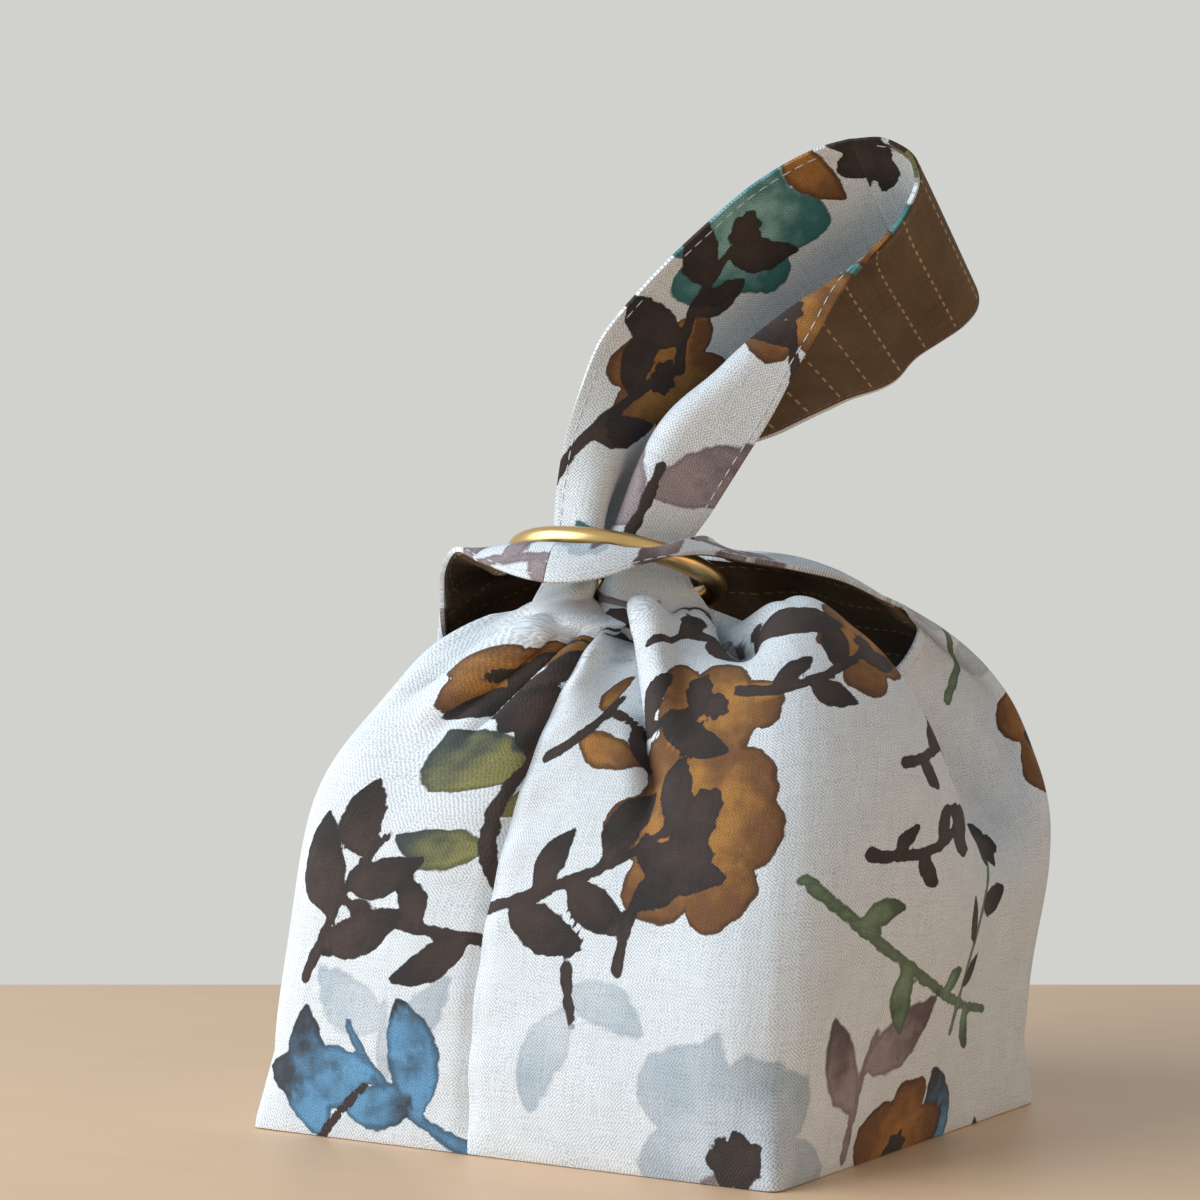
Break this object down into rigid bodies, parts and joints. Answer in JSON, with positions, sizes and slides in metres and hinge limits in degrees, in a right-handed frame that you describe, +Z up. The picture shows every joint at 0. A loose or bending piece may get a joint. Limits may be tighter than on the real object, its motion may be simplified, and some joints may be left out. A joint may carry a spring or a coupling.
{
  "type": "dumpling bag",
  "caption": "Small boxed cloth bag gathered like a dumpling, its long handle loop drawn up through a metal ring and a short strap wrapped round the neck.",
  "frame": {"origin": "on the table under the middle of the base", "axes": "+Z up; the two side seams are on the -Y and +Y faces, and the two mouths open towards +X and -X"},
  "size_m": [0.1442, 0.136, 0.2175],
  "materials": {
    "outer_cloth": "matte woven linen, printed",
    "lining_cloth": "matte woven cotton, fine stripe",
    "ring_metal": "satin"
  },
  "bodies": {
    "bag": {"outer_panel_right": "outer_cloth", "outer_panel_left": "outer_cloth", "lining_panel_right": "lining_cloth", "lining_panel_left": "lining_cloth"},
    "ring": {"neck_ring": "ring_metal"}
  },
  "joints": [
    {"name": "ring_slide", "type": "slide", "parent": "bag", "child": "ring", "axis": [0.0232, 0.307, 0.9514], "range_m": [0, 0.0015]}
  ]
}
